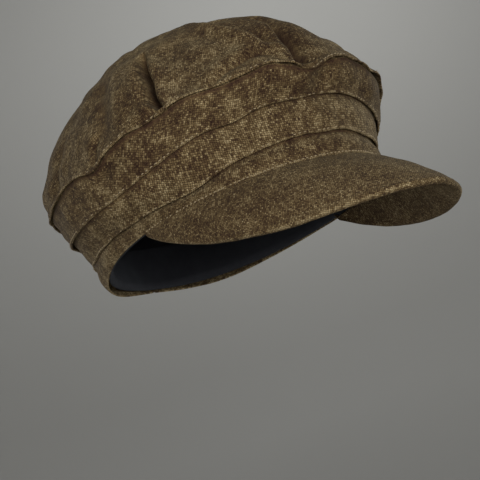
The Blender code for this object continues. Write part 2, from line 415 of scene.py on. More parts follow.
def tier(name, wall, wall_above, height, flare, seed, dents=(), painted_shade=0.0):
    """One lapped tier, its folded foot standing a little proud of what it covers.

    A dent is an angle in degrees, a share of the height, how wide and how tall it is in the
    same measures, and how far it moves the cloth out, in mm. The last argument paints the whole
    tier darker, a painted shade.
    """
    angle = np.linspace(-pi, pi, AROUND + 1)[None, :]
    share = np.concatenate((np.linspace(0, 0.3, 9), np.linspace(0.36, 1, 12)))[:, None]
    behind = wall_above(angle, 0.0 * angle) - outwards(wall_above, angle) * (CLOTH * 0.8)
    top = behind - uphill(wall_above, angle) * CLOTH / 2
    foot = wall(angle, 0.0 * angle)
    out, up = outwards(wall, angle), uphill(wall, angle)
    middle = foot + (top - foot) * share[..., None]
    middle = middle + out * (TIER_BULGE * np.sin(pi * share) ** 2)[..., None]
    # The fold flares unevenly, and the cloth between the seams ripples a little.
    uneven = 1 + 0.55 * swells(foot, 34 * MM, seed)
    free = np.sin(pi * share) ** 0.7
    lift = flare * uneven * np.exp(-((share * height / FLARE_HEIGHT) ** 2))
    for size, depth, extra in ((30, 0.55, 1), (12, 0.16, 2)):
        lift = lift + free * swells(middle, size * MM, seed + extra) * depth * MM
    for at, up_share, wide, tall, rise in dents:
        lift = lift + rise * MM * dent(angle, share, at, up_share, wide, tall)
    # The seam that closes the tier into a ring, at the nape.
    from_seam = (pi - np.abs(angle)) * BAND_RADIUS
    lift = lift - SEAM_DEPTH * np.exp(-((from_seam / SEAM_WIDTH) ** 2))
    face = middle + out * (CLOTH / 4 + lift)[..., None]
    # Its head is tucked up out of sight behind the tier above.
    rise_up = uphill(wall_above, angle)
    tucks = [face[-1:] + rise_up * LAP * k for k in (0.4, 0.8, 1.2)]
    outer = np.vstack((face, *tucks))
    inner = outer - out * FOLDED_CLOTH
    edge = rolled_edge(face[:1] - out * FOLDED_CLOTH / 2, out, up, FOLDED_CLOTH)
    grid = np.vstack((edge[:-1], outer, inner[:0:-1][::2]))
    heights = np.concatenate(
        (np.full(len(edge) - 1, -1 * MM), share[:, 0] * height, [height + LAP] * len(tucks))
    )
    heights = np.concatenate((heights, np.linspace(height + LAP, 0, len(grid) - len(heights))))
    lay = band_lay(angle, heights[:, None])
    # The fold is painted pale, more in some places than in others: partly rubbed yarns, partly a
    # painted highlight along the fold's edge.
    rubbing_and_light = np.clip(0.55 + 0.75 * swells(foot, 14 * MM, seed + 3), 0, 1.3)
    wear_and_painted_light = np.exp(-((np.maximum(heights, 0) / WEAR_AND_LIGHT_HEIGHT) ** 2))[:, None] * rubbing_and_light
    wear_and_painted_light = wear_and_painted_light * (np.arange(len(grid)) < len(edge) + len(face))[:, None]
    # A dark line is painted in the corner under the lap above: a painted shadow of the lap's
    # overhang.
    below_lap = height - 0.4 * MM - heights
    wear_and_painted_light = wear_and_painted_light - 1.5 * np.exp(-((below_lap / WEAR_AND_LIGHT_HEIGHT) ** 2))[:, None] - painted_shade
    made = cloth(name + "_cloth", grid, lay, wear_and_painted_light, TWEED, "loop")
    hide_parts(name)
    return made, face[1], out[0]


MIDDLE_LAP = Ring(
    6.4 * MM, 106.8 * MM, 99.1 * MM, 29.0 * MM, 5.4 * MM, 6.6 * MM,
    ((-80, 14, -1.3), (-50, 10, 1.6), (-36, 6, -1.6), (-10, 8, -1.4), (12, 7, 0.6),
     (70, 12, 1.0), (120, 12, -1.4), (165, 10, 1.0), (-146, 14, 2.2)),
)
HEADBAND_WALL = between(HEM, HEADBAND_LAP)
MIDDLE_WALL = between(HEADBAND_LAP, MIDDLE_LAP)
headband, headband_edge, headband_out = tier(
    "headband", HEADBAND_WALL, MIDDLE_WALL, 17 * MM, 0.2 * MM, 11,
    ((-146, 0.15, 26, 0.55, 3.2), (146, 0.15, 26, 0.55, 2.4)),
)

# --- Middle tier --------------------------------------------------------------------------
# A wider strip that leans out over the headband. Its foot is folded under and stands proud,
# and along the fold its colour is painted paler: partly pressed and rubbed yarns, partly a
# painted highlight.
UPPER_LAP = Ring(
    5.9 * MM, 118.2 * MM, 105.7 * MM, 49.0 * MM, 5.9 * MM, 3.2 * MM,
    ((-101, 5, 1.4), (-86, 5, -5.0), (-70, 6, 1.4), (-50, 7, 2.6), (-36, 5, -0.6),
     (-22, 5, 2.2), (-6.5, 7, -6.2), (11, 5, 1.6), (27, 6, -1.2), (60, 9, -2.4),
     (95, 10, 1.6), (128, 8, -3.0), (163, 10, 1.4), (-146, 14, 2.6)),
)
UPPER_WALL = between(MIDDLE_LAP, UPPER_LAP)
middle_tier, middle_edge, middle_out = tier(
    "middle_tier", MIDDLE_WALL, UPPER_WALL, 22 * MM, 0.7 * MM, 21,
    ((-38, 0.75, 6, 0.3, -1.2), (-60, 0.5, 9, 0.5, 0.9), (-128, 0.5, 24, 0.6, -2.0),
     (128, 0.5, 24, 0.6, -1.6)),
)

# --- Upper tier ---------------------------------------------------------------------------
# The widest strip. It is dented at the front where the crown's big pleat pulls it in, and its
# head is tucked up behind the crown, which swells out from their seam to its own girth.
CROWN_GIRTH = Ring(
    11.0 * MM, 121.0 * MM, 104.9 * MM, 49.0 * MM, 5.9 * MM, 3.2 * MM, UPPER_LAP.strays
)
CROWN_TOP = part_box("crown_top")[1].z - CLOTH / 2
CROWN_SWELL_SHARE, CROWN_FALL, CROWN_ROUNDNESS = 0.18, 1.5, 2.0


def on_crown(angle, share):
    """The crown's smooth form, from its lap line at share 0 to its top at share 1."""
    share = np.asarray(share) + 0.0 * angle
    angle = angle + 0.0 * share
    base, girth = on_ring(UPPER_LAP, angle), on_ring(CROWN_GIRTH, angle)
    swell = np.clip(share / CROWN_SWELL_SHARE, 0, 1)
    swell = (swell * swell * (3 - 2 * swell))[..., None]
    start = base * (1 - swell) + girth * swell
    width = np.clip(1 - np.clip(share, 0, 1) ** CROWN_FALL, 0, 1) ** (1 / CROWN_ROUNDNESS)
    back = CROWN_GIRTH.back
    return np.stack(
        (
            start[..., 0] * width,
            back + (start[..., 1] - back) * width,
            base[..., 2] + (CROWN_TOP - base[..., 2]) * share,
        ),
        -1,
    )


upper_tier, upper_edge, upper_out = tier(
    "upper_tier", UPPER_WALL, on_crown, 24 * MM, 0.75 * MM, 31,
    ((-3, 0.62, 7, 0.4, -3.4), (10, 0.6, 6, 0.5, 1.0), (-17, 0.6, 6, 0.5, 1.0),
     (-56, 0.8, 5, 0.25, -1.6), (-84, 0.75, 5, 0.3, -1.8), (-124, 0.6, 24, 0.5, -2.4),
     (124, 0.55, 24, 0.5, -2.0)),
    # The whole upper tier is painted darker, a painted shade.
    painted_shade=0.4,
)

# --- Crown --------------------------------------------------------------------------------
# One soft round of tweed, gathered into its lap line by hand-laid pleats and slumping a
# little between them. Its foot is folded under and laps over the upper tier.
ROWS_UP, INNER_ROWS = 132, 44
CROWN_GRAIN = radians(-25)
CROWN_FLARE = 0.9 * MM
CROWN_LAYERS = 1.2 * MM
# The seam's hold on the cloth dies out over this share of the crown's height.
TIED_SHARE = 0.035
Fold = namedtuple("Fold", "line depth left right left_lip right_lip")
# Each line runs up from the seam, as (angle in degrees, share of the crown's height). A fold
# is this deep and, seen from outside, this wide to its left and right, and the cloth beside it
# stands up in a lip on each side, all in mm.
FOLDS = (
    Fold(((-57, 0.01), (-58, 0.14), (-58, 0.28), (-59, 0.42), (-60, 0.64)),
         12.5, 2.4, 2.4, 2.8, 3.6),
    Fold(((-68, 0.0), (-63, 0.01), (-57, 0.05)), 4.0, 2.0, 2.4, 1.2, 0.0),
    Fold(((-10, 0.02), (-8.5, 0.13), (-7.0, 0.27), (-5, 0.44), (-2, 0.66), (5, 0.92)),
         17.0, 2.2, 8.0, 5.0, 2.2),
    Fold(((-15, 0.29), (-19, 0.39), (-22, 0.51), (-25, 0.66), (-28, 0.94)),
         10.0, 2.2, 9.0, 4.4, 1.4),
    Fold(((-42, 0.03), (-36, 0.09), (-30, 0.13), (-22, 0.14), (-15, 0.15)),
         2.8, 2.6, 3.0, 2.2, 0.8),
    Fold(((-77, 0.02), (-77, 0.17), (-78, 0.34), (-81, 0.54), (-85, 0.72)),
         4.0, 8.0, 9.0, 1.6, 1.6),
    Fold(((-84, 0.0), (-83, 0.11), (-80, 0.22)), 2.6, 2.6, 4.0, 1.4, 0.6),
    Fold(((-112, 0.02), (-110, 0.25), (-106, 0.5)), 2.4, 8.0, 7.0, 1.0, 1.0),
    Fold(((-137, 0.02), (-138, 0.2), (-142, 0.5)), 5.5, 3.0, 7.0, 2.4, 1.6),
    Fold(((-160, 0.02), (-158, 0.2), (-160, 0.42)), 3.4, 6.0, 5.0, 1.4, 1.2),
    Fold(((170, 0.02), (173, 0.25), (171, 0.6)), 5.0, 7.0, 3.4, 1.6, 2.2),
    Fold(((143, 0.02), (141, 0.2), (144, 0.45)), 3.2, 5.0, 5.0, 1.4, 1.4),
    Fold(((114, 0.02), (111, 0.2), (107, 0.45), (106, 0.7)), 7.0, 7.0, 2.8, 1.6, 2.8),
    Fold(((84, 0.02), (86, 0.2), (85, 0.42)), 3.4, 6.0, 6.0, 1.2, 1.2),
    Fold(((53, 0.02), (51, 0.22), (50, 0.5), (46, 0.7)), 6.5, 2.8, 8.0, 2.8, 1.4),
    Fold(((27, 0.02), (28, 0.2), (31, 0.45)), 3.2, 5.0, 6.0, 1.2, 1.6),
)


def spread_evenly(count):
    """Shares of the crown's height, evenly spaced along its outline to just short of its top."""
    fine = np.linspace(0, 1, 2000)
    outline = on_crown(np.full(2000, pi / 2), fine)
    length = np.concatenate(([0], np.cumsum(np.linalg.norm(np.diff(outline, axis=0), axis=1))))
    return np.interp(np.linspace(0, length[-1] * 0.997, count), length, fine), length[-1]


def along_fold(line, count=26):
    """Points and outward directions spaced along a fold's line."""
    places = np.array(line, float)
    at = np.linspace(0, len(places) - 1, count)
    steps = np.arange(len(places))
    angle = np.radians(np.interp(at, steps, places[:, 0]))
    share = np.interp(at, steps, places[:, 1])
    return on_crown(angle, share), outwards(on_crown, angle, share)


def fold_lift(points, fold):
    """How far a fold moves each point of the cloth in or out."""
    spine, out = along_fold(fold.line)
    nearest = np.full(points.shape[:-1], 1.0)
    side = np.zeros_like(nearest)
    reached = np.zeros_like(nearest)
    for step, (start, end, square) in enumerate(zip(spine[:-1], spine[1:], out)):
        run = end - start
        share_of_run = np.clip((points - start) @ run / (run @ run), 0, 1)
        gap = points - start - share_of_run[..., None] * run
        distance = np.linalg.norm(gap, axis=-1)
        closer = distance < nearest
        nearest = np.where(closer, distance, nearest)
        side = np.where(closer, gap @ np.cross(run, square), side)
        reached = np.where(closer, (step + share_of_run) / (len(spine) - 1), reached)
    across = np.where(side > 0, nearest, -nearest) / MM
    blend = 1 / (1 + np.exp(-across / 1.2))
    width = fold.left * (1 - blend) + fold.right * blend
    lift = -fold.depth * np.exp(-((across / width) ** 2))
    for lip, reach, way in ((fold.left_lip, fold.left, -1), (fold.right_lip, fold.right, 1)):
        broad = 1.6 * reach + 1.8
        lift = lift + lip * np.exp(-(((across - way * (broad + 1.0)) / broad) ** 2))
    # A fold is pinched in the seam, opens above it, and runs out at its top.
    strength = np.clip(0.38 + reached / 0.25, 0, 1) * np.clip((1 - reached) / 0.25, 0, 1) ** 0.7
    return lift * strength * MM


def pleats(points, share):
    """How far all the folds together move the cloth, dying out at its foot and its top."""
    total = sum(fold_lift(points, fold) for fold in FOLDS)
    tied = 1 - np.exp(-np.maximum(share, 0) / TIED_SHARE)
    return total * np.clip((1 - share) / 0.25, 0, 1) * (0.25 + 0.75 * tied)


shares, outline_length = spread_evenly(ROWS_UP)
angle = np.linspace(-pi, pi, AROUND + 1)[None, :]
share = shares[:, None]
form = on_crown(angle, share)
square = outwards(on_crown, angle, np.clip(share, 0, 0.985))
lift = pleats(form, share)
# The cloth lies in uneven swells, broad ones and smaller ones, and puckers near its seam.
tied = 1 - np.exp(-share / TIED_SHARE)
foot = form[:1]
lift = lift + tied * swells(form, 74 * MM, 41) * 1.7 * MM
lift = lift + tied * swells(form, 27 * MM, 42) * 0.8 * MM
lift = lift + tied * np.exp(-share / 0.16) * swells(form, 10 * MM, 43) * 0.45 * MM
flare = CROWN_FLARE * (1 + 0.5 * swells(foot, 30 * MM, 44))
lift = lift + flare * np.exp(-((share / TIED_SHARE) ** 2))
# It slumps by 2.5 mm all over, and by more or less round three places.
slump = 2.5
for at, up_share, wide, tall, drop in (
    (-106, 0.35, 20, 0.25, 1.2), (-84, 0.8, 22, 0.2, -1.6), (-4, 0.75, 34, 0.3, 3.0)
):
    slump = slump + drop * dent(angle, share, at, up_share, wide, tall)
lift = lift - slump * tied * MM
# Towards the nape on the wearer's right the foot is drawn in flatter.
lift = lift - 1.2 * MM * dent(angle, share, -128, 0.0, 20, 0.14)
face = form + square * (CLOTH / 2 + lift)[..., None]
out, up = outwards(on_crown, angle), uphill(on_crown, angle)
edge = rolled_edge(face[:1] - out * FOLDED_CLOTH / 2, out, up, FOLDED_CLOTH)
inner_rows = np.linspace(0, ROWS_UP - 1, INNER_ROWS + 1).astype(int)[1:][::-1]
inner = face[inner_rows] - square[inner_rows] * CROWN_LAYERS
grid = np.vstack((inner, edge[:-1], face))


def on_all_rows(values):
    """Spreads values given up the outer side to the inner side and the folded edge too."""
    return np.vstack((values[inner_rows], np.repeat(values[:1], len(edge) - 1, 0), values))


reach = on_all_rows(1 - np.arange(ROWS_UP)[:, None] / (ROWS_UP - 1)) * outline_length
grain = angle + CROWN_GRAIN
lay = np.stack((reach * np.sin(grain), -reach * np.cos(grain)), -1)
is_edge = (np.arange(len(grid)) >= len(inner))[:, None]
# The folded edge is painted paler: partly rubbed yarns, partly a painted highlight along it.
wear_and_painted_light = np.exp(-(((outline_length - reach) / (1.2 * MM)) ** 2)) * is_edge
wear_and_painted_light = wear_and_painted_light * np.clip(0.5 + 0.75 * swells(foot, 14 * MM, 45), 0, 1.3)
# Deep in the folds the colour is painted darker, a painted shade.
fold_shade = np.clip(-pleats(form, share) / (8 * MM), 0, 1)
wear_and_painted_light = wear_and_painted_light - 1.6 * on_all_rows(fold_shade)
# The whole crown is painted a little darker, and over the top darker still: painted shade where the
# top turns away from the light.
top_shade = np.clip((share - 0.3) / 0.35, 0, 1) + 0 * angle
wear_and_painted_light = wear_and_painted_light - 0.2 - 0.4 * on_all_rows(top_shade)
crown = cloth("crown_cloth", grid, lay, wear_and_painted_light, TWEED, "poles")
crown_edge, crown_out = face[1], out[0]
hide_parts("crown_top")

# --- Visor --------------------------------------------------------------------------------
# A stiff board covered above and below with the same tweed, cut on the bias. The upper cover
# rolls round the edge of the board and is turned in under it, where the lower cover meets it.
VISOR_COLUMNS, VISOR_ROWS = 260, 44
VISOR_END_ANGLE = radians(89.0)
VISOR_DEPTH, VISOR_END_DEPTH, VISOR_FULLNESS = 66.5 * MM, 3.0 * MM, 0.81
VISOR_FRONT_DROOP, VISOR_SIDE_DROOP = radians(37.5), radians(61.0)
VISOR_SPREAD = 0.17
VISOR_DROP_BELOW_HEM = 0.9 * MM
VISOR_THICKNESS = 4.8 * MM
EDGE_RADIUS = VISOR_THICKNESS / 2
VISOR_CROWNING = 2.6 * MM
ROOT_CAUGHT = 2.6 * MM
EDGE_STITCH_INSET = 6.2 * MM
COVER, LOWER_COVER = 1.1 * MM, 0.9 * MM
FLAT_RADIUS = 130 * MM


def visor_reach(across):
    """How far the visor runs out from the hem: across goes from -1 to 1 round the front."""
    return VISOR_END_DEPTH + VISOR_DEPTH * np.clip(1 - across**2, 0, 1) ** VISOR_FULLNESS


def visor_face(across, along):
    """The visor's upper face, along running out from the hem to the edge."""
    turn = across * VISOR_END_ANGLE
    root = on_ring(HEM, turn, CLOTH / 2 + LAYER_GAP) - np.array((0, 0, VISOR_DROP_BELOW_HEM))
    droop = VISOR_FRONT_DROOP + (VISOR_SIDE_DROOP - VISOR_FRONT_DROOP) * np.sin(turn) ** 2
    zero = 0.0 * turn
    square = unit(
        np.stack((np.sin(turn) / HEM.half_width, -np.cos(turn) / HEM.half_length, zero), -1)
    )
    level = unit(square * VISOR_SPREAD + np.array((0.0, -1.0, 0.0)) * (1 - VISOR_SPREAD))
    run = level * np.cos(droop)[..., None] - np.array((0, 0, 1.0)) * np.sin(droop)[..., None]
    return root + run * (visor_reach(across) * along)[..., None]


def visor_square(across, along):
    """The direction square out of the visor's upper face."""
    step = 0.01
    left, right = np.clip(across - step, -1, 1), np.clip(across + step, -1, 1)
    sideways = visor_face(right, along) - visor_face(left, along)
    ahead = visor_face(across, along + step) - visor_face(across, along - step)
    return unit(np.cross(ahead, sideways))


BIAS_TWEED = tweed("bias_tweed_cloth", 1.05 * MM, -0.09, 0.7)
fine = np.linspace(-1, 1, 801)
hem_line = visor_face(fine, 0.0 * fine)
hem_run = np.concatenate(([0], np.cumsum(np.linalg.norm(np.diff(hem_line, axis=0), axis=1))))
hem_run = hem_run - hem_run[-1] / 2


def bias_lay(across, along):
    """Where a point of the visor lies on its cover, cut at 45 degrees to the grain."""
    across, along = across + 0.0 * along, along + 0.0 * across
    root = visor_face(across, 0.0 * along)
    ahead = unit(visor_face(across, 0.0 * along + 1.0) - root)
    step = 0.004
    sideways = unit(visor_face(across + step, 0.0 * along) - visor_face(across - step, 0.0 * along))
    slant = (ahead * sideways).sum(-1)
    square = np.sqrt(1 - slant**2)
    run = visor_reach(across) * along
    turn = np.interp(across, fine, hem_run) / FLAT_RADIUS
    x = FLAT_RADIUS * np.sin(turn) + run * (slant * np.cos(turn) + square * np.sin(turn))
    y = -FLAT_RADIUS * np.cos(turn) + run * (slant * np.sin(turn) - square * np.cos(turn))
    return np.stack((x + y, y - x), -1) / 2**0.5


across = np.linspace(-1, 1, VISOR_COLUMNS + 1)[None, :]
inset = np.clip(EDGE_RADIUS / visor_reach(across), 0, 0.6)
rows = np.linspace(0, 1, VISOR_ROWS + 1)[:, None]
# Its root is caught up behind the headband's foot.
caught = -ROOT_CAUGHT / visor_reach(across)
along = caught + (1 - inset - caught) * rows
face = visor_face(across, along)
square = visor_square(across, np.maximum(along, 0))
# The cloth puffs a little between the two rows of stitching and dips under each of them.
from_edge = visor_reach(across) * (1 - along)
stitched = np.exp(-(((from_edge - EDGE_STITCH_INSET) / (0.9 * MM)) ** 2))
lift = swells(face, 24 * MM, 51) * 0.22 * MM - stitched * 0.35 * MM
lift = lift + VISOR_CROWNING * np.sin(pi * np.clip(along, 0, 1)) * np.sqrt(1 - across**2)
face = face + square * lift[..., None]
tip, tip_square = face[-1:], square[-1:]
tip_out = unit(visor_face(across, along[-1:] + 0.02) - visor_face(across, along[-1:] - 0.02))
roll_at = tip - tip_square * EDGE_RADIUS
turn = np.linspace(0, pi, 13)[1:, None, None]
puff = 1.0 + 0.05 * swells(tip, 14 * MM, 52)[..., None]
round_edge = tip_square * np.cos(turn) + tip_out * np.sin(turn)
roll_edge = roll_at + round_edge * EDGE_RADIUS * puff
turned_in = roll_edge[-1:] - tip_out * np.array((1.5, 3.0, 4.5))[:, None, None] * MM
outer = np.vstack((face, roll_edge, turned_in))
# The inner side of the cover lies one thickness in.
inner_face = face - square * COVER
inner_roll = roll_at + round_edge * (EDGE_RADIUS - COVER)
inner_turned = turned_in + tip_square * COVER
inner = np.vstack((inner_face, inner_roll, inner_turned))
grid = np.vstack((outer[::-1], inner))
# On the flat cut the cloth runs on past the face, half round the roll and in under it.
past_face = np.concatenate((np.linspace(0.26, pi, 12), (3.8, 4.4, 5.0)))[:, None]
run_out = np.concatenate((along, 1 - inset + inset * past_face))
outer_lay = bias_lay(across + 0 * run_out, run_out)
lay = np.vstack((outer_lay[::-1], outer_lay))
# The middle of the roll is painted pale: partly rubbed nap, partly a painted highlight where the
# roll catches the light.
rubbing_and_light = np.clip(1.1 + 0.5 * swells(tip, 9 * MM, 54), 0.3, 1.8)
on_roll = np.exp(-(((turn[..., 0] - 1.2) / 0.6) ** 2)) * rubbing_and_light
rim = np.concatenate((0 * along * across, on_roll, np.zeros((3, across.size))))
wear_and_painted_light = np.vstack((rim[::-1], rim * 0))
visor_top = cloth("visor_cover", grid, lay, wear_and_painted_light, BIAS_TWEED, "loop", ring=False)
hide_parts("visor_top")

# The lower cover is one flat piece, its edge turned under and felled to the rolled edge.
rows = np.linspace(0, 1, 30)[:, None]
along = rows * (1 - 1.05 * inset)
face = visor_face(across, along)
square = visor_square(across, along)
drop = VISOR_THICKNESS + 0.25 * MM + 0.25 * MM * (1 - rows)
hollow = swells(face, 30 * MM, 53) * 0.25 * MM + 0.9 * MM * np.sin(pi * rows)
lower = face - square * (drop - hollow)[..., None]
lower_back = lower + square * LOWER_COVER
tuck = (lower[-1:] + lower_back[-1:]) / 2 + tip_out * 0.35 * MM
grid = np.vstack((lower, tuck, lower_back[::-1]))
lower_lay = bias_lay(across + 0 * along, along)
lay = np.vstack((lower_lay, bias_lay(across, along[-1:] + 0.01), lower_lay[::-1]))
visor_under = cloth(
    "visor_lower_cover", grid, lay, 0.0 * grid[..., 0], BIAS_TWEED, "loop", ring=False
)
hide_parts("visor_under")

# --- Stitching ----------------------------------------------------------------------------
# Pale tan thread. It holds the visor to the headband's foot, rings the visor's edge, and
# shows as short broken bars along the tiers' folds, half sunk between the yarns.
BAR_RINGS, BAR_SIDES = 6, 6
THREAD_STAND = 0.1 * MM


def thread():
    """Twisted cotton thread, tan, its plies showing as a fine slant."""
    made, shader, start = new_finish("tan_thread", 0.1, (0.9, 0.85, 0.7), 0.3)
    place = start.node("ShaderNodeTexCoord", out=3)
    ply = start.node(
        "ShaderNodeTexWave",
        {"wave_type": "BANDS", "bands_direction": "DIAGONAL"},
        {"Vector": place, "Scale": 900.0, "Distortion": 1.0},
    )
    shade = place.noise(6 * MM, 2.0)
    mixed = (ply * 0.35 + shade * 0.65).clamped()
    colour = mixed.mix((0.260, 0.190, 0.105, 1.0), (0.560, 0.460, 0.300, 1.0))
    dress(shader, colour, 0.75 + ply * 0.1, ply, 0.05 * MM)
    return made


THREAD = thread()


def stitches(name, path, out, pitch, length, thick, skip, seed):
    """Short thread bars laid along a path, each one sunk at its two ends.

    skip is the share of them that is left out, where the thread has sunk out of sight.
    """
    dice = np.random.default_rng(seed)
    run = np.concatenate(([0], np.cumsum(np.linalg.norm(np.diff(path, axis=0), axis=1))))
    points, faces = [], []
    at = 0.5 * pitch
    while at < run[-1] - pitch:
        span = length * dice.uniform(0.8, 1.15)
        if dice.uniform() >= skip:
            steps = at + span * np.linspace(-0.5, 0.5, BAR_RINGS)
            core = np.stack([np.interp(steps, run, path[:, k]) for k in range(3)], -1)
            square = unit(np.stack([np.interp(steps, run, out[:, k]) for k in range(3)], -1))
            ahead = unit(np.gradient(core, axis=0))
            sideways = np.cross(ahead, square)
            sunk = np.array((-0.9, -0.1, 0.25, 0.25, -0.1, -0.9))[:, None] * thick
            girth = np.array((0.35, 0.85, 1.0, 1.0, 0.85, 0.35)) * thick / 2
            core = core + square * sunk
            first = len(points)
            for k in range(BAR_RINGS):
                for turn in np.arange(BAR_SIDES) * 2 * pi / BAR_SIDES:
                    ply = sideways[k] * cos(turn) + square[k] * sin(turn) * 0.8
                    points.append(core[k] + ply * girth[k])
            for k in range(BAR_RINGS - 1):
                for side in range(BAR_SIDES):
                    a = first + k * BAR_SIDES + side
                    b = first + k * BAR_SIDES + (side + 1) % BAR_SIDES
                    faces.append((a, b, b + BAR_SIDES, a + BAR_SIDES))
            faces.append(tuple(range(first, first + BAR_SIDES))[::-1])
            faces.append(tuple(range(len(points) - BAR_SIDES, len(points))))
        at += pitch * dice.uniform(0.93, 1.07)
    mesh = bpy.data.meshes.new(name)
    mesh.from_pydata([tuple(p) for p in points], [], faces)
    mesh.polygons.foreach_set("use_smooth", [True] * len(faces))
    mesh.materials.append(THREAD)
    made = bpy.data.objects.new(name, mesh)
    bpy.context.scene.collection.objects.link(made)
    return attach(made, "root")


# The visor's root row runs only where the visor is, a quarter turn to each side of the front.
front = np.abs(np.linspace(-pi, pi, AROUND + 1)) < VISOR_END_ANGLE
path = headband_edge[front] + headband_out[front] * THREAD_STAND
stitches("visor_root_stitches", path, headband_out[front], 2.7 * MM, 2.0 * MM, 0.8 * MM, 0.06, 61)

across = np.linspace(-0.985, 0.985, 1500)
along = 1 - np.clip(EDGE_STITCH_INSET / visor_reach(across), 0, 0.9)
square = visor_square(across, along)
path = visor_face(across, along) - square * 0.28 * MM
stitches("visor_edge_stitches", path, square, 2.3 * MM, 1.5 * MM, 0.55 * MM, 0.05, 62)

for name, path, out, seed in (
    ("headband_lap_stitches", middle_edge, middle_out, 63),
    ("middle_lap_stitches", upper_edge, upper_out, 64),
    ("upper_lap_stitches", crown_edge, crown_out, 65),
):
    stitches(name, path + out * THREAD_STAND, out, 3.4 * MM, 2.4 * MM, 0.7 * MM, 0.45, seed)

# --- Sweatband ----------------------------------------------------------------------------
# A blue-black twill band that touches the head. It is sewn in at the hem and stands free
# above it, with a narrow turned top edge.
SWEATBAND_DEPTH = 3.5 * MM
SWEATBAND_HEIGHT = 28 * MM
SWEATBAND_CLOTH = 0.9 * MM
SWEATBAND_FOOT = Ring(
    0.0, HEM.half_length - SWEATBAND_DEPTH, HEM.half_width - SWEATBAND_DEPTH, 0.0, 0.0, 0.0, ()
)
SWEATBAND_HEAD = Ring(
    5.04 * MM, SWEATBAND_FOOT.half_length - 1.9 * MM, SWEATBAND_FOOT.half_width + 2.52 * MM,
    SWEATBAND_HEIGHT, 0.0, 0.0, (),
)


def twill():
    """Fine blue-black cotton twill: a steep diagonal rib with a little dust in it."""
    made, shader, start = new_finish("twill_cloth", 0.15, (0.5, 0.55, 0.65), 0.25)
    flat = start.node("ShaderNodeUVMap", {"uv_map": "cut"})
    u, v, _ = flat.parts()
    rib = ((u + v * 0.8) / (0.9 * MM)).ribs()
    dust = flat.noise(7 * MM, 4.0, 0.65)
    fine = flat.noise(0.7 * MM, 2.0)
    mixed = (rib * 0.4 + dust * 0.5 + fine * 0.3 - 0.1).clamped()
    colour = mixed.mix((0.008, 0.009, 0.013, 1.0), (0.046, 0.048, 0.060, 1.0))
    dress(shader, colour, 0.85 - rib * 0.15, rib + fine * 0.4, 0.18 * MM)
    return made


TWILL = twill()
angle = np.linspace(-pi, pi, 361)[None, :]
wall = between(SWEATBAND_FOOT, SWEATBAND_HEAD)
share = np.linspace(0, 1, 20)[:, None]
out = outwards(wall, angle)
band = wall(angle + 0 * share, share + 0 * angle)
wave = swells(band, 46 * MM, 71) * 0.8 * MM * share + swells(band, 15 * MM, 72) * 0.12 * MM
# A low welt shows where the top edge is turned over and sewn down.
welt = 0.25 * MM * np.exp(-(((share - 0.88) / 0.02) ** 2))
# Its foot spreads out to the headband's hem, most of all where the hem dips beside the nape.
from_dip = np.abs(np.abs(np.degrees(angle)) - 147)
seam = (1.4 + 2.6 * np.exp(-((from_dip / 27) ** 2))) * MM * np.exp(-((share / 0.06) ** 2))
# The hidden side comes first, then the turned top, then the side that faces the head.
hidden = band + out * (SWEATBAND_CLOTH / 2 + wave + seam)[..., None]
top_middle = band[-1:] + out * wave[-1:][..., None]
top_turn = rolled_edge(top_middle, out, -uphill(wall, angle), SWEATBAND_CLOTH)
facing = band - out * (SWEATBAND_CLOTH / 2 + welt - wave - seam)[..., None]
grid = np.vstack((hidden, top_turn[::-1][1:-1], facing[::-1]))
climb = np.concatenate((share[:, 0], np.ones(EDGE_STEPS - 2), share[::-1, 0]))[:, None]
level = climb * SWEATBAND_HEIGHT
lay = np.stack((angle * 92 * MM + 0 * level, level + 0 * angle), -1)
sweatband = cloth("sweatband_cloth", grid, lay, 0 * grid[..., 0], TWILL, "loop")
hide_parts("sweatband")

# --- Lining -------------------------------------------------------------------------------
# A thin dark lining in two parts: a side sewn in behind the sweatband and drawn up with soft
# gathers, and a round tip that closes it under the crown.


def lining_cloth():
    """Thin blue-black satin with a faint cross grain."""
    made, shader, start = new_finish("lining_satin", 0.1, (0.5, 0.5, 0.6), 0.45)
    flat = start.node("ShaderNodeUVMap", {"uv_map": "cut"})
    stretched = start.node(
        "ShaderNodeVectorMath", {"operation": "MULTIPLY"}, {0: flat, 1: (1.0, 9.0, 1.0)}
    )
    grain = stretched.noise(1.2 * MM, 3.0)
    cloud = flat.noise(30 * MM, 2.0)
    mixed = (grain * 0.5 + cloud * 0.6 - 0.05).clamped()
    colour = mixed.mix((0.008, 0.008, 0.011, 1.0), (0.040, 0.040, 0.048, 1.0))
    dress(shader, colour, 0.42 + grain * 0.2, grain, 0.06 * MM)
    return made


LINING_SATIN = lining_cloth()
LINING_DROP = 8.0 * MM
LINING_THICK = 0.5 * MM


def lined(angle, share):
    """The lining's form, a little inside the crown and clear of its folds."""
    form = on_crown(angle, share)
    clear = LINING_DROP - np.minimum(pleats(form, share), 0)
    return form - outwards(on_crown, angle, np.clip(share, 0, 0.98)) * clear[..., None]


angle = np.linspace(-pi, pi, 481)[None, :]
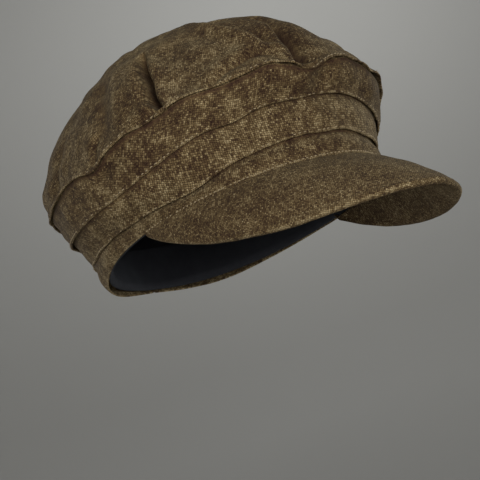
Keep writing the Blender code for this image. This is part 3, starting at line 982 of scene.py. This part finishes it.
# It climbs from behind the sweatband, out to the middle lap, and up inside the crown.
low = wall(angle, 0.8 + 0 * angle) + outwards(wall, angle) * 1.4 * MM
mid = on_ring(MIDDLE_LAP, angle, -6 * MM) + np.array((0, 0, 2.5 * MM))
steps = np.linspace(0, 1, 13)[:, None, None]
lower_part = low * (1 - steps) + mid * steps
knee = lined(angle, 0 * angle)
steps = np.linspace(0, 1, 10)[1:, None, None]
middle_part = mid * (1 - steps) + knee * steps
share = np.linspace(0, 0.5, 22)[1:, None]
upper_part = lined(angle, share)
band = np.vstack((lower_part, middle_part, upper_part))
climb = np.linspace(0, 1, len(band))[:, None]
inward = unit(np.stack((-band[..., 0], CROWN_GIRTH.back - band[..., 1], 0 * band[..., 0]), -1))
gathers = np.sin(angle * 37 + 1.7 * np.sin(angle * 5)) * 0.55 + np.sin(angle * 61 + 2) * 0.35
slack = np.sin(pi * climb) ** 0.6
wave = (gathers * 0.9 * MM * np.exp(-climb / 0.25) + swells(band, 40 * MM, 81) * 1.3 * MM) * slack
inside = band + inward * (0.7 * MM + wave)[..., None]
back = inside - inward * LINING_THICK
grid = np.vstack((back, inside[::-1]))
level = np.concatenate((climb[:, 0], climb[::-1, 0]))[:, None] * 90 * MM
lay = np.stack((angle * 100 * MM + 0 * level, level + 0 * angle), -1)
lining_side = cloth("lining_side_cloth", grid, lay, 0 * grid[..., 0], LINING_SATIN, "loop")
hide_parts("lining_side")

share = np.concatenate((np.linspace(0.43, 0.9, 24), 1 - 0.1 * (1 - np.linspace(0.1, 0.985, 18))))
share = share[:, None]
tip_form = lined(angle, share)
down = outwards(on_crown, angle, np.clip(share, 0, 0.98))
drop = 1.6 * MM + swells(tip_form, 50 * MM, 82) * 1.0 * MM
drop = drop + swells(tip_form, 16 * MM, 83) * 0.25 * MM
inside = tip_form - down * drop[..., None]
back = inside + down * LINING_THICK
grid = np.vstack((inside[::-1], back))
reach = np.concatenate((1 - share[::-1, 0], 1 - share[:, 0]))[:, None] * 160 * MM
lay = np.stack((reach * np.sin(angle), -reach * np.cos(angle)), -1)
lining_tip = cloth("lining_tip_cloth", grid, lay, 0 * grid[..., 0], LINING_SATIN, "poles")
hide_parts("lining_tip")

# --- Hidden stiffeners --------------------------------------------------------------------
# Between the cloth and the lining: a buckram strip round the headband, an elastic at the
# nape, and the visor's pressed board.


def hidden_stuff(name, light, dark, grain):
    """A plain working material with level thread lines and a felted grain."""
    made, shader, start = new_finish(name, 0.0, (1.0, 1.0, 1.0), 0.3)
    place = start.node("ShaderNodeTexCoord", out=3)
    thread_lines = (place.parts()[2] / grain).ribs()
    cloud = place.noise(5 * MM, 3.0, 0.6)
    mixed = (thread_lines * 0.35 + cloud * 0.65).clamped()
    colour = mixed.mix((*dark, 1.0), (*light, 1.0))
    dress(shader, colour, 0.8 + cloud * 0.15, thread_lines + cloud, 0.08 * MM)
    return made


for node, light, dark, grain in (
    ("band_stiffener", (0.70, 0.66, 0.55), (0.48, 0.45, 0.37), 1.2 * MM),
    ("back_elastic", (0.060, 0.058, 0.056), (0.022, 0.021, 0.022), 0.9 * MM),
    ("visor_board", (0.74, 0.74, 0.72), (0.56, 0.56, 0.54), 3.0 * MM),
):
    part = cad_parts[node]
    stuff = hidden_stuff(node + "_finish", light, dark, grain)
    for place in part.material_slots:
        place.material = stuff

# --- Studio -------------------------------------------------------------------------------
# A wide pale bowl of floor and backdrop in one sweep. A large soft key stands above the camera
# and a weaker fill beside it, two lights on the left and behind reach the sides that they
# miss, a small one brightens the backdrop, and a weak even glow comes from all round.
FLOOR_DEPTH = 0.62
BOWL_RINGS, BOWL_SIDES = 59, 96
# The bowl's outline, as (distance out, height above the floor).
bowl = [(0.0, 0.0), (1.2, 0.0), (2.0, 0.1), (2.6, 0.45), (2.95, 1.1), (3.1, 2.2), (3.1, 4.2)]
steps = np.linspace(0, len(bowl) - 1, BOWL_RINGS + 1)[1:]
bowl_out = np.interp(steps, range(len(bowl)), [out for out, _ in bowl])
bowl_up = np.interp(steps, range(len(bowl)), [up for _, up in bowl])
turns = np.linspace(0, 2 * pi, BOWL_SIDES + 1)[:-1]
points = [
    (out * cos(turn), out * sin(turn), up - FLOOR_DEPTH)
    for out, up in zip(bowl_out, bowl_up)
    for turn in turns
]
points.append((0.0, 0.0, -FLOOR_DEPTH))
faces = []
for side in range(BOWL_SIDES):
    beside = (side + 1) % BOWL_SIDES
    for low in range(0, (BOWL_RINGS - 1) * BOWL_SIDES, BOWL_SIDES):
        high = low + BOWL_SIDES
        faces.append((low + side, low + beside, high + beside, high + side))
    faces.append((beside, side, len(points) - 1))
sweep = bpy.data.meshes.new("backdrop")
sweep.from_pydata(points, [], faces)
sweep.polygons.foreach_set("use_smooth", [True] * len(faces))
paper, shader, start = new_finish("backdrop_paper", 0.0, (1, 1, 1), 0.1)
place = start.node("ShaderNodeTexCoord", out=3)
tooth = place.noise(0.9, 2.0)
colour = tooth.mix((0.425, 0.425, 0.415, 1.0), (0.465, 0.465, 0.455, 1.0))
dress(shader, colour, 0.9 + tooth * 0.05, place.noise(0.004, 1.0), 0.0001)
sweep.materials.append(paper)
backdrop = bpy.data.objects.new("backdrop", sweep)
bpy.context.scene.collection.objects.link(backdrop)


def soft_light(name, place, target, size, power, colour):
    """A square soft light, facing its target."""
    lamp = bpy.data.lights.new(name, "AREA")
    lamp.shape, lamp.size, lamp.energy, lamp.color = "SQUARE", size, power, colour
    made = bpy.data.objects.new(name, lamp)
    bpy.context.scene.collection.objects.link(made)
    made.location = place
    made.rotation_mode = "QUATERNION"
    made.rotation_quaternion = (place - target).to_track_quat("Z", "Y")


middle = (cad_low + cad_high) / 2
key_way = away + view_up * 0.22 + view_right * 0.12
fill_way = away * 0.8 - view_right * 0.9 + view_up * 0.1
left_way = Vector((1.0, 0.0, 0.22))
back_way = Vector((-0.1, 1.0, 0.2))
for name, way, distance, size, power, colour in (
    ("key", key_way, 1.7, 0.75, 15.6, (1.0, 0.975, 0.92)),
    ("fill", fill_way, 2.0, 1.2, 3.4, (1.0, 0.98, 0.95)),
    ("left", left_way, 1.2, 0.8, 4.2, (1.0, 0.98, 0.94)),
    ("back", back_way, 1.2, 0.8, 4.2, (1.0, 0.98, 0.94)),
):
    soft_light(name, middle + way.normalized() * distance, middle, size, power, colour)
wall_spot = middle - away * 3.0 + view_up * 0.36 - view_right * 0.05
soft_light("wall", wall_spot + away * 0.4 + view_up * 0.5, wall_spot, 0.25, 4.2, (1.0, 1.0, 0.98))

world = bpy.data.worlds.new("studio")
bpy.context.scene.world = world
world.use_nodes = True
glow = world.node_tree.nodes["Background"]
glow.inputs["Color"].default_value = (0.97, 0.97, 0.95, 1.0)
glow.inputs["Strength"].default_value = 0.29
bpy.context.scene.view_settings.view_transform = "Standard"
